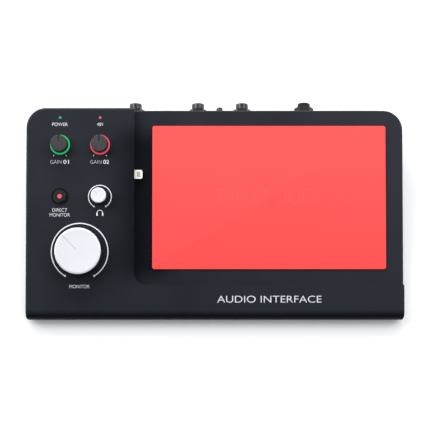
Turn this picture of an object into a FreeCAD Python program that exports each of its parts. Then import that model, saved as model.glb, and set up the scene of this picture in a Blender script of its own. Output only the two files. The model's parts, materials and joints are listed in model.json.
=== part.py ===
import FreeCAD, Part
import math
import os
import re
import Sketcher

# Tablet-dock audio interface: a sloping desk case with a raised L-shaped deck,
# a sunk tray for the tablet, and sockets on a rear panel.
# World frame: +X right, +Y back, +Z up, origin under the middle of the box.
# Deck frame: u = X, v up the slope from the front edge, w normal to the deck.

SIZES = [
    # case
    ("case_width", 289.0), ("case_depth", 158.5), ("nose_reach", 11.2),
    ("front_height", 17.0), ("tilt", 10.0), ("foot_drop", 2.5),
    ("seam_height", 8.0), ("floor_thick", 2.5), ("wall", 2.5),
    ("corner_rear", 15.0), ("corner_front", 1.6), ("nose_radius", 7.0),
    ("keel_radius", 5.2),
    ("post_inset", 9.5), ("post_radius", 3.6), ("pilot_radius", 1.35),
    ("foot_radius", 7.0), ("foot_across", 118.0),
    # tray and pad
    ("tray_left", -61.7), ("tray_front", 25.15), ("tray_depth", 7.2),
    ("tray_corner", 8.8), ("tray_edge", 1.0),
    ("pad_middle", 41.5), ("pad_width", 179.3), ("pad_front", 37.2),
    ("pad_length", 110.2), ("pad_thick", 2.0), ("pad_sunk", 0.8),
    ("pad_corner", 1.3), ("pad_gap", 0.3),
    # rear panel
    ("panel_left", -124.0), ("panel_right", 126.0), ("panel_low", 5.6),
    ("panel_high", 34.0), ("panel_thick", 2.0), ("panel_proud", 1.0),
    ("axis_height", 19.0),
    # controls: centres on the deck
    ("gain_first", -118.5), ("gain_second", -87.9), ("gain_row", 132.2),
    ("led_row", 152.9), ("phones_across", -87.9), ("phones_up", 92.3),
    ("direct_across", -118.5), ("direct_up", 92.5),
    ("monitor_across", -103.2), ("monitor_up", 50.3),
    # controls: sizes
    ("gain_radius", 6.4), ("gain_top", 10.0), ("halo_inner", 4.4),
    ("halo_outer", 7.6), ("phones_radius", 6.1), ("phones_top", 14.0),
    ("phones_cap", 5.8), ("dial_radius", 17.8), ("dial_top", 16.5),
    ("dial_cap", 17.5), ("knob_gap", 0.6), ("shaft_radius", 3.0),
    ("run_gap", 0.05), ("bezel_outer", 6.5), ("bezel_inner", 5.0),
    ("button_radius", 4.8), ("button_top", 1.8),
    ("lens_radius", 1.0), ("direct_lens_radius", 1.7),
    # control board, hung under the deck
    ("board_top", -11.4), ("board_thick", 1.6), ("board_left", -130.0),
    ("board_right", -71.0), ("board_low", 30.0), ("board_high", 148.5),
    # dock plug and its carriage
    ("plug_up", 109.7), ("plug_reach", 6.1), ("plug_width", 6.65),
    ("plug_thick", 1.5), ("plug_level", -3.0), ("slot_low", 85.3),
    ("slot_high", 122.9), ("carriage_width", 12.0), ("rod_radius", 1.25),
    ("rod_near", -69.5), ("rod_far", -77.5), ("rod_level", -7.2),
    # rear sockets: centres along X and sizes
    ("instrument_x", -62.3), ("mic_one_x", -37.9), ("left_out_x", -13.4),
    ("phantom_x", 3.6), ("right_out_x", 21.1), ("mic_two_x", 45.4),
    ("phones_out_x", 69.7), ("usb_x", 87.0), ("power_x", 103.0),
    ("dc_x", 117.5), ("lock_x", -108.0), ("jack_bore", 3.25),
    ("nose_outer", 4.9), ("metal_reach", 10.9), ("nut_across", 14.7),
    ("nut_thick", 4.2), ("washer_thick", 0.8), ("mic_barrel", 12.0),
    # main board
    ("main_level", 6.8), ("main_left", -78.0), ("main_right", 128.0),
    ("main_length", 70.0),
]
DERIVED = {
    "case_front": "(-(case_depth + nose_reach) / 2)",
    "case_rear": "((case_depth - nose_reach) / 2)",
    "panel_face": "(case_rear + panel_proud)",
    "panel_back": "(case_rear + panel_proud - panel_thick)",
    "slope_length": "(case_depth / cos(tilt))",
    "floor_top": "(foot_drop + floor_thick)",
    "main_top": "(main_level + board_thick)",
}
NAMES = {name for name, _ in SIZES}

doc = FreeCAD.newDocument("audio_interface")
sheet = doc.addObject("Spreadsheet::Sheet", "Params")
for row, (name, size) in enumerate(SIZES, 1):
    sheet.set(f"A{row}", name)
    sheet.set(f"B{row}", str(size))
    sheet.setAlias(f"B{row}", name)
doc.recompute()
nodes = []


def bound(text):
    """Turn a formula of size names into one that reads the sheet."""
    def swap(match):
        word = match.group(0)
        if word in DERIVED:
            return bound(DERIVED[word])
        return f"Params.{word}" if word in NAMES else word
    return re.sub(r"[a-z][a-z_]*", swap, str(text))


def value(text):
    return float(sheet.evalExpression(bound(text)))


def bind(thing, prop, text):
    thing.setExpression(prop, bound(text))


# ---- sketches and features ------------------------------------------------

def new_body(label):
    body = doc.addObject("PartDesign::Body", label)
    body.Label = label
    return body


def new_sketch(body, role="XY_Plane", lift=0):
    """Sketch on one of the body's own origin planes, lifted along its normal."""
    planes = {f.Role: f for f in body.Origin.OriginFeatures}
    sketch = body.newObject("Sketcher::SketchObject", body.Name + "_sketch")
    sketch.AttachmentSupport = [(planes[role], "")]
    sketch.MapMode = "FlatFace"
    bind(sketch, "AttachmentOffset.Base.z", lift)
    return sketch


def pin_point(sketch, edge, end, spot):
    """Fix one point of the sketch at the two formulas in spot."""
    for kind, text in zip(("DistanceX", "DistanceY"), spot):
        rule = Sketcher.Constraint(kind, -1, 1, edge, end, value(text))
        bind(sketch, f"Constraints[{sketch.addConstraint(rule)}]", text)


def add_outline(sketch, points, arcs=None):
    """Closed outline; arcs gives the centre of each edge that is round."""
    arcs = arcs or {}
    spots = [FreeCAD.Vector(value(x), value(y), 0) for x, y in points]
    first = sketch.GeometryCount
    ends = []
    for index, start in enumerate(spots):
        stop = spots[(index + 1) % len(spots)]
        if index in arcs:
            middle = FreeCAD.Vector(*[value(t) for t in arcs[index]], 0)
            a, b = start - middle, stop - middle
            left_turn = a.x * b.y - a.y * b.x > 0
            low, high = (a, b) if left_turn else (b, a)
            ring = Part.Circle(middle, FreeCAD.Vector(0, 0, 1), a.Length)
            begin = math.atan2(low.y, low.x)
            finish = math.atan2(high.y, high.x)
            sketch.addGeometry(Part.ArcOfCircle(ring, begin, finish))
            ends.append((1, 2) if left_turn else (2, 1))
        else:
            sketch.addGeometry(Part.LineSegment(start, stop))
            ends.append((1, 2))
    count = len(spots)
    for index in range(count):
        after = (index + 1) % count
        sketch.addConstraint(Sketcher.Constraint(
            "Coincident", first + index, ends[index][1], first + after, ends[after][0]))
    for index, spot in enumerate(points):
        pin_point(sketch, first + index, ends[index][0], spot)
    for index in arcs:
        reach = (spots[index] - FreeCAD.Vector(*[value(t) for t in arcs[index]], 0)).Length
        sketch.addConstraint(Sketcher.Constraint("Radius", first + index, reach))


def add_box(sketch, left, right, low, high):
    add_outline(sketch, [(left, low), (right, low), (right, high), (left, high)])


def add_circle(sketch, across, up, radius):
    spot = FreeCAD.Vector(value(across), value(up), 0)
    edge = sketch.addGeometry(Part.Circle(spot, FreeCAD.Vector(0, 0, 1), value(radius)))
    pin_point(sketch, edge, 3, (across, up))
    rule = sketch.addConstraint(Sketcher.Constraint("Radius", edge, value(radius)))
    bind(sketch, f"Constraints[{rule}]", radius)


def pad(body, sketch, length):
    feature = body.newObject("PartDesign::Pad", body.Name + "_pad")
    feature.Profile = sketch
    bind(feature, "Length", length)
    return feature


def pocket(body, sketch, length):
    """Cut from the sketch against its normal, and check that it cut something."""
    doc.recompute()
    before = body.Shape.Volume
    feature = body.newObject("PartDesign::Pocket", body.Name + "_pocket")
    feature.Profile = sketch
    bind(feature, "Length", length)
    doc.recompute()
    assert body.Shape.Volume < before - 1e-6, f"{feature.Name} cut nothing"
    return feature


def round_edges(body, radius, wanted):
    """Fillet every edge of the body whose middle passes the test."""
    doc.recompute()
    picks = [f"Edge{n}" for n, edge in enumerate(body.Shape.Edges, 1) if wanted(edge)]
    assert picks, f"no edge to round on {body.Label}"
    base = body.Tip
    feature = body.newObject("PartDesign::Fillet", body.Name + "_fillet")
    feature.Base = (base, picks)
    bind(feature, "Radius", radius)
    doc.recompute()
    assert "Invalid" not in feature.State, f"rounding failed on {body.Label}"


def middle_of(edge):
    return edge.valueAt((edge.FirstParameter + edge.LastParameter) / 2)


def is_upright(edge):
    ends = [vertex.Point for vertex in edge.Vertexes]
    return len(ends) == 2 and abs(ends[0].x - ends[1].x) + abs(ends[0].y - ends[1].y) < 1e-6


# ---- placing --------------------------------------------------------------

def place(thing, x, y, z):
    for letter, text in zip("xyz", (x, y, z)):
        bind(thing, f"Placement.Base.{letter}", text)
    return thing


def place_on_deck(thing, u, v, w=0):
    """Stand the part on the deck: its own Z along the deck's normal."""
    thing.Placement.Rotation = FreeCAD.Rotation(FreeCAD.Vector(1, 0, 0), value("tilt"))
    bind(thing, "Placement.Rotation.Angle", "tilt")
    return place(thing, u,
                 f"case_front + ({v}) * cos(tilt) - ({w}) * sin(tilt)",
                 f"front_height + ({v}) * sin(tilt) + ({w}) * cos(tilt)")


def place_on_panel(thing, x, height="axis_height"):
    """Turn the part's own Z to +Y, with zero at the panel's inner face."""
    thing.Placement.Rotation = FreeCAD.Rotation(FreeCAD.Vector(1, 0, 0), -90)
    return place(thing, x, "panel_back", height)


def node(thing, label=None):
    if label:
        thing.Label = label
    nodes.append(thing)
    return thing


# ---- building blocks ------------------------------------------------------

def turned(label, profile):
    """Solid of revolution about its own Z from a half profile of (radius, height)."""
    body = new_body(label)
    sketch = new_sketch(body, "XZ_Plane")
    add_outline(sketch, profile)
    feature = body.newObject("PartDesign::Revolution", label + "_turn")
    feature.Profile = sketch
    feature.ReferenceAxis = (sketch, ["V_Axis"])
    feature.Angle = 360
    return body


def ring(label, inner, outer, low, high):
    return turned(label, [(inner, low), (outer, low), (outer, high), (inner, high)])


def slab(label, spans, deck=False):
    """Part::Box from (low, high) formulas along the three axes of its frame."""
    box = doc.addObject("Part::Box", label)
    box.Label = label
    for side, (low, high) in zip(("Length", "Width", "Height"), spans):
        bind(box, side, f"({high}) - ({low})")
    corner = [low for low, _ in spans]
    return place_on_deck(box, *corner) if deck else place(box, *corner)


def boolean(kind, label, base, tools):
    """Part::Cut or Part::MultiFuse of the base with one or more tools."""
    if kind == "Fuse":
        thing = doc.addObject("Part::MultiFuse", label)
        thing.Shapes = [base] + tools
    else:
        tool = tools[0]
        if len(tools) > 1:
            tool = doc.addObject("Part::MultiFuse", label + "_tools")
            tool.Shapes = tools
        thing = doc.addObject("Part::Cut", label)
        thing.Base = base
        thing.Tool = tool
    thing.Label = label
    return thing


def copies(label, pattern, puts):
    """Compound of one pattern piece, placed by each function in puts."""
    links = []
    for number, put in enumerate(puts, 1):
        link = doc.addObject("App::Link", f"{label}_{number}")
        link.LinkedObject = pattern
        put(link)
        links.append(link)
    group = doc.addObject("Part::Compound", label)
    group.Label = label
    group.Links = links
    return group


def gathered(label, pieces):
    group = doc.addObject("Part::Compound", label)
    group.Label = label
    group.Links = pieces
    return group


# ---- case -----------------------------------------------------------------

def plan_corners(inset):
    return (f"-case_width / 2 + {inset}", f"case_width / 2 - {inset}",
            f"case_front + {inset}", f"case_rear - {inset}")


def add_plan(sketch, inset):
    """The case seen from above: square front corners, round rear ones."""
    left, right, low, high = plan_corners(inset)
    radius = f"(corner_rear - {inset})"
    add_outline(sketch, [
        (left, low), (right, low), (right, f"{high} - {radius}"),
        (f"{right} - {radius}", high), (f"{left} + {radius}", high),
        (left, f"{high} - {radius}"),
    ], {2: (f"{right} - {radius}", f"{high} - {radius}"),
        4: (f"{left} + {radius}", f"{high} - {radius}")})


def case_block(label, inset, base):
    """Closed wedge with the deck and the tray, drawn in by inset on every face."""
    body = new_body(label)
    sketch = new_sketch(body, lift=base)
    add_plan(sketch, inset)
    pad(body, sketch, "70")

    # Everything above the deck goes, with a bullnose along the front edge.
    nose = f"(nose_radius - {inset})"
    front, rear = f"case_front + {inset}", "case_rear + 5"
    lift = f"(front_height + ({inset}) * tan(tilt) - ({inset}) / cos(tilt))"
    centre = f"{lift} + {nose} * tan(tilt) - {nose} / cos(tilt)"
    sketch = new_sketch(body, "YZ_Plane", "case_width / 2 + 5")
    add_outline(sketch, [
        (front, centre),
        (f"{front} + {nose} * (1 - sin(tilt))", f"{centre} + {nose} * cos(tilt)"),
        (rear, f"{lift} + ({rear} - ({front})) * tan(tilt)"),
        (rear, "95"), (f"{front} - 5", "95"), (f"{front} - 5", centre),
    ], {0: (f"{front} + {nose}", centre)})
    pocket(body, sketch, "case_width + 10")

    # The tray is sunk square to the deck, and open at the right and the back.
    sketch = new_sketch(body)
    turn = FreeCAD.Rotation(FreeCAD.Vector(1, 0, 0), value("tilt"))
    sketch.AttachmentOffset = FreeCAD.Placement(FreeCAD.Vector(0, 0, 0), turn)
    bind(sketch, "AttachmentOffset.Rotation.Angle", "tilt")
    bind(sketch, "AttachmentOffset.Base.y", f"case_front + ({inset}) * sin(tilt)")
    bind(sketch, "AttachmentOffset.Base.z", f"front_height - ({inset}) * cos(tilt)")
    left, low = f"tray_left - {inset}", f"tray_front - {inset}"
    corner = f"(tray_corner + {inset})"
    add_outline(sketch, [
        (f"{left} + {corner}", low), ("case_width", low), ("case_width", "slope_length + 30"),
        (left, "slope_length + 30"), (left, f"{low} + {corner}"),
    ], {4: (f"{left} + {corner}", f"{low} + {corner}")})
    pocket(body, sketch, "tray_depth")
    return body


def deck_height(point):
    """Distance of a world point above the deck plane."""
    run, rise = point.y - value("case_front"), point.z - value("front_height")
    tilt = math.radians(value("tilt"))
    return rise * math.cos(tilt) - run * math.sin(tilt)


def round_case_edges(body):
    side, front, rear = value("case_width / 2"), value("case_front"), value("case_rear")
    tray, seam = value("tray_depth"), value("seam_height")
    arc_start = rear - value("corner_rear")

    def on_rim(edge):
        spot = middle_of(edge)
        beyond_arc = math.hypot(abs(spot.x) - side + value("corner_rear"), spot.y - arc_start)
        in_arc = spot.y > arc_start and abs(beyond_arc - value("corner_rear")) < 0.01
        return abs(abs(spot.x) - side) < 0.01 or abs(spot.y - rear) < 0.01 or in_arc

    def outer_deck(edge):
        spot = middle_of(edge)
        if not on_rim(edge) or spot.z < seam + 0.01:
            return False
        upright_front = is_upright(edge) and spot.y < front + 0.01
        nose = abs(abs(spot.x) - side) < 0.01 and spot.y < front + value("nose_radius")
        return upright_front or nose or abs(deck_height(spot)) < 0.01

    def tray_rim(edge):
        return on_rim(edge) and abs(deck_height(middle_of(edge)) + tray) < 0.01

    round_edges(body, "corner_front", outer_deck)
    round_edges(body, "tray_edge", tray_rim)


POST_SPOTS = [(f"{side} * (case_width / 2 - post_inset)", row)
              for side in ("-1", "1")
              for row in ("case_front + 11", "case_front + 82", "case_rear - 15")]
STANDOFFS = [("board_left + 5", "board_low + 5"), ("board_right - 5", "board_low + 5"),
             ("board_left + 5", "board_high - 5"), ("board_right - 5", "board_high - 5")]
FOOT_SPOTS = [("-foot_across", "case_front + 20"), ("foot_across", "case_front + 20"),
              ("-foot_across", "case_rear - 24"), ("foot_across", "case_rear - 24")]
MAIN_SPOTS = [("main_left + 5", "case_rear - main_length"),
              ("main_right - 5", "case_rear - main_length"),
              ("main_left + 5", "case_rear - 34"), ("main_right - 5", "case_rear - 34")]


def round_tools(label, spots, radius, low, high):
    body = new_body(label)
    sketch = new_sketch(body, lift=low)
    for across, up in spots:
        add_circle(sketch, across, up, radius)
    pad(body, sketch, f"({high}) - ({low})")
    return body


def deck_openings():
    """Holes through the deck, drawn in the deck frame."""
    body = new_body("deck_openings")
    sketch = new_sketch(body, lift="-wall - 1")
    for across in ("gain_first", "gain_second"):
        add_circle(sketch, across, "gain_row", "halo_outer")
        add_circle(sketch, across, "led_row", "lens_radius")
    add_circle(sketch, "phones_across", "phones_up", "shaft_radius + 0.8")
    add_circle(sketch, "monitor_across", "monitor_up", "shaft_radius + 0.8")
    add_circle(sketch, "direct_across", "direct_up", "bezel_outer")
    pad(body, sketch, "wall + 3")
    return place_on_deck(body, 0, 0)


def slope_rods(label, radius, low, high):
    """The carriage's two rods, or bores for them, running up the slope."""
    body = new_body(label)
    sketch = new_sketch(body)
    for across in ("rod_near", "rod_far"):
        add_circle(sketch, across, "-rod_level", radius)
    pad(body, sketch, f"({high}) - ({low})")
    turn = FreeCAD.Rotation(FreeCAD.Vector(-1, 0, 0), value("90 - tilt"))
    body.Placement.Rotation = turn
    bind(body, "Placement.Rotation.Angle", "90 - tilt")
    return place(body, "0", f"case_front + ({low}) * cos(tilt)",
                 f"front_height + ({low}) * sin(tilt)")


def make_top_cover():
    outer = case_block("case_outside", "0", "seam_height")
    round_case_edges(outer)
    cavity = case_block("case_cavity", "wall", "seam_height - 1")
    posts = round_tools("case_posts", POST_SPOTS, "post_radius", "seam_height - 2", "60")
    shell = boolean("Cut", "case_shell", outer, [boolean("Cut", "cavity_cut", cavity, [posts])])
    hangers = round_tools("board_hangers", STANDOFFS, "2.8", "board_top", "-wall / 2")
    place_on_deck(hangers, 0, 0)
    ribs = [slab(name, [("rod_far - 2.2", "tray_left - wall / 2"), (low, high),
                        ("rod_level - 3", "-wall / 2")], deck=True)
            for name, low, high in (("rib_low", "slot_low - 5.5", "slot_low - 2.5"),
                                    ("rib_high", "slot_high + 4", "slot_high + 7"))]
    solid = boolean("Fuse", "cover_solid", shell, [hangers] + ribs)
    slot = slab("plug_slot", [("rod_near - 4", "tray_left + 2"), ("slot_low", "slot_high"),
                              ("plug_level - 1.8", "plug_level + 1.6")], deck=True)
    gap = "pad_gap"
    recess = slab("pad_recess", [(f"pad_middle - pad_width / 2 - {gap}",
                                  f"pad_middle + pad_width / 2 + {gap}"),
                                 (f"pad_front - {gap}", f"pad_front + pad_length + {gap}"),
                                 ("-tray_depth - pad_sunk", "-tray_depth + 1")], deck=True)
    window = slab("panel_window", [("panel_left", "panel_right"),
                                   ("case_rear - wall - 1", "case_rear + 2"),
                                   ("seam_height - 1", "panel_high")])
    pilots = round_tools("post_pilots", POST_SPOTS, "pilot_radius", "seam_height - 1", "14.4")
    screws = round_tools("hanger_pilots", STANDOFFS, "1.2", "board_top - 1", "board_top + 5")
    place_on_deck(screws, 0, 0)
    rods = slope_rods("rod_holes", "rod_radius", "slot_low - 4", "slot_high + 6")
    return node(boolean("Cut", "top_cover", solid, [
        slot, recess, window, pilots, screws, rods, deck_openings()]))


def make_bottom_cover():
    body = new_body("bottom_cover")
    sketch = new_sketch(body, lift="foot_drop")
    add_plan(sketch, "0")
    pad(body, sketch, "seam_height - foot_drop")
    front, floor = value("case_front"), value("foot_drop")
    round_edges(body, "keel_radius", lambda e: abs(middle_of(e).y - front) < 0.01
                and abs(middle_of(e).z - floor) < 0.01)
    round_edges(body, "corner_front",
                lambda e: is_upright(e) and abs(middle_of(e).y - front) < 0.01)

    sketch = new_sketch(body, lift="seam_height")
    add_plan(sketch, "wall")
    pocket(body, sketch, "seam_height - floor_top")

    # Posts under the cover's own, standoffs for the main board, and the holes.
    for spots, radius, top in ((POST_SPOTS, "post_radius", "seam_height"),
                               (MAIN_SPOTS, "3", "main_level")):
        sketch = new_sketch(body, lift="foot_drop + 1")
        for across, up in spots:
            add_circle(sketch, across, up, radius)
        pad(body, sketch, f"{top} - foot_drop - 1")
    for spots, radius, top, depth in (
            (POST_SPOTS, "pilot_radius + 0.25", "seam_height", "seam_height"),
            (POST_SPOTS, "3.2", "foot_drop + 2", "4"),
            (MAIN_SPOTS, "1.2", "main_level", "main_level - floor_top + 1.5"),
            (FOOT_SPOTS, "foot_radius", "foot_drop + 0.8", "3")):
        sketch = new_sketch(body, lift=top)
        for across, up in spots:
            add_circle(sketch, across, up, radius)
        pocket(body, sketch, depth)
    sketch = new_sketch(body, lift="seam_height")
    add_box(sketch, "panel_left", "panel_right", "case_rear - wall - 0.5", "case_rear + 1")
    pocket(body, sketch, "seam_height - panel_low")
    return node(body)


def make_feet_and_screws():
    foot = turned("foot_pattern", [("0", "0.4"), ("2.5", "0.4"), ("2.5", "0"),
                                   ("foot_radius - 0.6", "0"), ("foot_radius", "0.6"),
                                   ("foot_radius", "foot_drop + 0.8"), ("0", "foot_drop + 0.8")])
    for name, spot in zip(("foot_front_left", "foot_front_right",
                           "foot_rear_left", "foot_rear_right"), FOOT_SPOTS):
        link = doc.addObject("App::Link", name)
        link.LinkedObject = foot
        node(place(link, *spot, "0"), name)
    screw = turned("screw_pattern", [("0", "0"), ("2.6", "0"), ("2.9", "0.5"),
                                     ("2.9", "1.8"), ("pilot_radius", "1.8"),
                                     ("pilot_radius", "11"), ("0", "11")])
    node(copies("case_screws", screw, [
        lambda link, spot=spot: place(link, *spot, "foot_drop + 0.2") for spot in POST_SPOTS]))


def make_rear_panel():
    body = new_body("rear_panel")
    sketch = new_sketch(body)
    # Drawn as seen from inside: local X is across, local Y is down.
    add_box(sketch, "panel_left", "panel_right",
            "axis_height - panel_high", "axis_height - panel_low")
    for across, radius in (("instrument_x", "nose_outer + 0.15"),
                           ("left_out_x", "nose_outer + 0.15"),
                           ("right_out_x", "nose_outer + 0.15"),
                           ("phones_out_x", "nose_outer + 0.15"),
                           ("mic_one_x", "mic_barrel + 0.1"), ("mic_two_x", "mic_barrel + 0.1"),
                           ("phantom_x", "2.8"), ("dc_x", "4.6")):
        add_circle(sketch, across, "0", radius)
    for across, wide, tall in (("usb_x", "6.75", "3.05"), ("power_x", "6.6", "4.7"),
                               ("lock_x", "3.5", "1.5")):
        add_box(sketch, f"{across} - {wide}", f"{across} + {wide}", f"-{tall}", tall)
    pad(body, sketch, "panel_thick")
    return node(place_on_panel(body, "0"))


# ---- controls on the deck -------------------------------------------------

def hung_on_deck(thing, across, up):
    return place_on_deck(thing, across, up, 0)


def make_pot(name, across, up, bushing_top, shaft_top):
    """Rotary potentiometer: a housing with a bushing, and the shaft it carries."""
    body = new_body(name + "_pot")
    sketch = new_sketch(body, lift="board_top")
    add_box(sketch, "-4.9", "4.9", "-5.5", "5.5")
    pad(body, sketch, "-5 - board_top")
    sketch = new_sketch(body, lift="-5.5")
    add_circle(sketch, "0", "0", "shaft_radius + 0.6")
    pad(body, sketch, f"{bushing_top} + 5.5")
    sketch = new_sketch(body, lift=f"{bushing_top} + 1")
    add_circle(sketch, "0", "0", "shaft_radius + run_gap")
    pocket(body, sketch, f"{bushing_top} + 1 - board_top - 1.5")
    node(hung_on_deck(body, across, up))
    shaft = turned(name + "_shaft", [("0", "board_top + 1.8"), ("shaft_radius", "board_top + 1.8"),
                                     ("shaft_radius", shaft_top), ("0", shaft_top)])
    node(hung_on_deck(shaft, across, up))


def make_gain(name, across):
    make_pot(name, across, "gain_row", "-1.2", "gain_top - 2.5")
    # Rubber knob with a groove for its pointer at twelve o'clock.
    knob = turned(name + "_knob", [
        ("shaft_radius", "knob_gap"), ("gain_radius + 0.25", "knob_gap"),
        ("gain_radius", "gain_top - 0.9"), ("gain_radius - 0.9", "gain_top"),
        ("0", "gain_top"), ("0", "gain_top - 2.5"), ("shaft_radius", "gain_top - 2.5")])
    sketch = new_sketch(knob, lift="gain_top + 1")
    add_box(sketch, "-0.4", "0.4", "1.2", "gain_radius + 1")
    pocket(knob, sketch, "1.7")
    node(hung_on_deck(knob, across, "gain_row"))
    halo = turned(name + "_halo", [
        ("halo_inner", "-4.4"), ("halo_outer + 0.5", "-4.4"), ("halo_outer + 0.5", "-wall"),
        ("halo_outer", "-wall"), ("halo_outer", "0.2"), ("halo_inner", "0.2")])
    node(hung_on_deck(halo, across, "gain_row"))


def make_capped_knob(name, across, up, wide, cap, top, cap_thick):
    """Knob with a metal cap let into its top; its pointer is at half past ten."""
    floor = f"{top} - {cap_thick}"
    knob = turned(name + "_knob", [
        ("shaft_radius", "knob_gap + 2.6"), (f"{wide} - 1.4", "knob_gap + 2.6"),
        (f"{wide} - 1.4", "knob_gap"), (wide, "knob_gap"), (f"{wide} - 0.25", floor),
        ("0", floor), ("0", f"{floor} - 2"), ("shaft_radius", f"{floor} - 2")])
    node(hung_on_deck(knob, across, up))
    edge = f"{cap_thick} / 2"
    plate = turned(name + "_cap", [
        ("0", floor), (cap, floor), (cap, f"{top} - {edge}"), (f"{cap} - {edge}", top),
        ("0", top)])
    sketch = new_sketch(plate, lift=f"{top} + 1")
    slot, far, near = "0.3", f"{cap} - 1.2", "1.5"
    along, side = "sqrt(0.5)", f"{slot} * sqrt(0.5)"
    add_outline(sketch, [
        (f"-{far} * {along} - {side}", f"{far} * {along} - {side}"),
        (f"-{near} * {along} - {side}", f"{near} * {along} - {side}"),
        (f"-{near} * {along} + {side}", f"{near} * {along} + {side}"),
        (f"-{far} * {along} + {side}", f"{far} * {along} + {side}")])
    pocket(plate, sketch, "1.3")
    node(hung_on_deck(plate, across, up))


def make_controls():
    make_gain("gain_1", "gain_first")
    make_gain("gain_2", "gain_second")
    make_pot("headphone", "phones_across", "phones_up", "-0.6", "phones_top - 3.2")
    make_capped_knob("headphone", "phones_across", "phones_up", "phones_radius",
                     "phones_cap", "phones_top", "1.2")
    make_pot("monitor", "monitor_across", "monitor_up", "2.6", "dial_top - 3.6")
    make_capped_knob("monitor", "monitor_across", "monitor_up", "dial_radius",
                     "dial_cap", "dial_top", "1.6")
    nut = ring("monitor_nut", "shaft_radius + 0.6", "5.2", "0", "2")
    node(hung_on_deck(nut, "monitor_across", "monitor_up"))

    bezel = turned("direct_bezel", [
        ("bezel_inner", "-4"), ("bezel_outer + 1", "-4"), ("bezel_outer + 1", "-wall"),
        ("bezel_outer", "-wall"), ("bezel_outer", "0.5"), ("bezel_inner", "0.5")])
    node(hung_on_deck(bezel, "direct_across", "direct_up"))
    button = turned("direct_button", [
        ("direct_lens_radius", "-6.6"), ("2.6", "-6.6"), ("2.6", "-3"), ("button_radius", "-3"),
        ("button_radius", "button_top - 0.6"), ("button_radius - 0.6", "button_top"),
        ("direct_lens_radius", "button_top")])
    node(hung_on_deck(button, "direct_across", "direct_up"))
    lens = turned("direct_lens", [
        ("0", "-6.6"), ("direct_lens_radius", "-6.6"),
        ("direct_lens_radius", "button_top + 0.1"), ("0", "button_top + 0.1")])
    node(hung_on_deck(lens, "direct_across", "direct_up"))
    switch = slab("direct_switch_box", [("-3.1", "3.1"), ("-3.1", "3.1"), ("0", "2.6")])
    place_on_deck(switch, "direct_across - 3.1", "direct_up - 3.1", "board_top")
    node(switch, "direct_switch")
    for name, across in (("power_led_lens", "gain_first"), ("phantom_led_lens", "gain_second")):
        pipe = turned(name, [("0", "board_top + 2.5"), ("lens_radius", "board_top + 2.5"),
                             ("lens_radius", "0.1"), ("lens_radius - 0.4", "0.5"), ("0", "0.5")])
        node(hung_on_deck(pipe, across, "led_row"))


def make_control_board():
    body = new_body("control_board")
    sketch = new_sketch(body, lift="board_top - board_thick")
    add_box(sketch, "board_left", "board_right", "board_low", "led_row - 1")
    for across, up in STANDOFFS:
        add_circle(sketch, across, up, "1.25")
    pad(body, sketch, "board_thick")
    node(place_on_deck(body, 0, 0))


# ---- dock plug ------------------------------------------------------------

def make_dock_plug():
    tip = "tray_left + plug_reach"
    low, high = "plug_level - plug_thick / 2", "plug_level + plug_thick / 2"
    body = new_body("dock_plug")
    sketch = new_sketch(body, lift=low)
    half, corner = "plug_width / 2", "1.2"
    add_outline(sketch, [
        ("rod_near", f"-{half}"), (f"{tip} - {corner}", f"-{half}"),
        (tip, f"-{half} + {corner}"), (tip, f"{half} - {corner}"),
        (f"{tip} - {corner}", half), ("rod_near", half),
    ], {1: (f"{tip} - {corner}", f"-{half} + {corner}"),
        3: (f"{tip} - {corner}", f"{half} - {corner}")})
    pad(body, sketch, "plug_thick")
    node(place_on_deck(body, 0, "plug_up"))

    block = slab("carriage_block", [
        ("rod_far - 2.6", "tray_left - wall - 0.6"),
        ("plug_up - carriage_width / 2", "plug_up + carriage_width / 2"),
        ("rod_level - 2.4", "plug_level - 0.2")], deck=True)
    nose = slab("carriage_nose", [
        ("rod_near - 2.5", "tray_left - wall - 0.6"),
        ("plug_up - plug_width / 2 - 1", "plug_up + plug_width / 2 + 1"),
        ("plug_level - 0.2", f"{high} + 0.3")], deck=True)
    seat = slab("plug_seat", [("rod_near", "tray_left"),
                              ("plug_up - plug_width / 2", "plug_up + plug_width / 2"),
                              (low, high)], deck=True)
    bores = slope_rods("carriage_bores", "rod_radius + run_gap",
                       "plug_up - carriage_width", "plug_up + carriage_width")
    solid = boolean("Fuse", "carriage_solid", block, [nose])
    node(boolean("Cut", "plug_carriage", solid, [seat, bores]))
    node(slope_rods("guide_rods", "rod_radius", "slot_low - 4", "slot_high + 6"))


# ---- sockets on the rear panel --------------------------------------------

def make_jack(name, across, nose):
    """Quarter-inch socket: housing on the main board, threaded nose, blind bore."""
    body = new_body(name)
    sketch = new_sketch(body, lift="-26")
    add_box(sketch, "-8", "8", "-8", "axis_height - main_top")
    pad(body, sketch, "26")
    sketch = new_sketch(body, lift="-1")
    add_circle(sketch, "0", "0", "nose_outer")
    pad(body, sketch, f"{nose} + 1")
    sketch = new_sketch(body, lift=nose)
    add_circle(sketch, "0", "0", "jack_bore")
    pocket(body, sketch, f"{nose} + 24")
    tip = value(nose)
    round_edges(body, "0.5", lambda e: abs(middle_of(e).z - tip) < 0.01)
    node(place_on_panel(body, across))


def hex_nut(label, across, thick):
    body = new_body(label)
    sketch = new_sketch(body)
    reach = f"({across}) / sqrt(3)"
    add_outline(sketch, [(f"{reach} * cos({60 * n})", f"{reach} * sin({60 * n})")
                         for n in range(6)])
    add_circle(sketch, "0", "0", "nose_outer")
    pad(body, sketch, thick)
    return body


def lift_from_panel(link, across, height):
    """Put a fastener on a socket's axis, above the panel's outer face."""
    place_on_panel(link, across)
    bind(link, "Placement.Base.y", f"panel_face + {height}")


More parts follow.
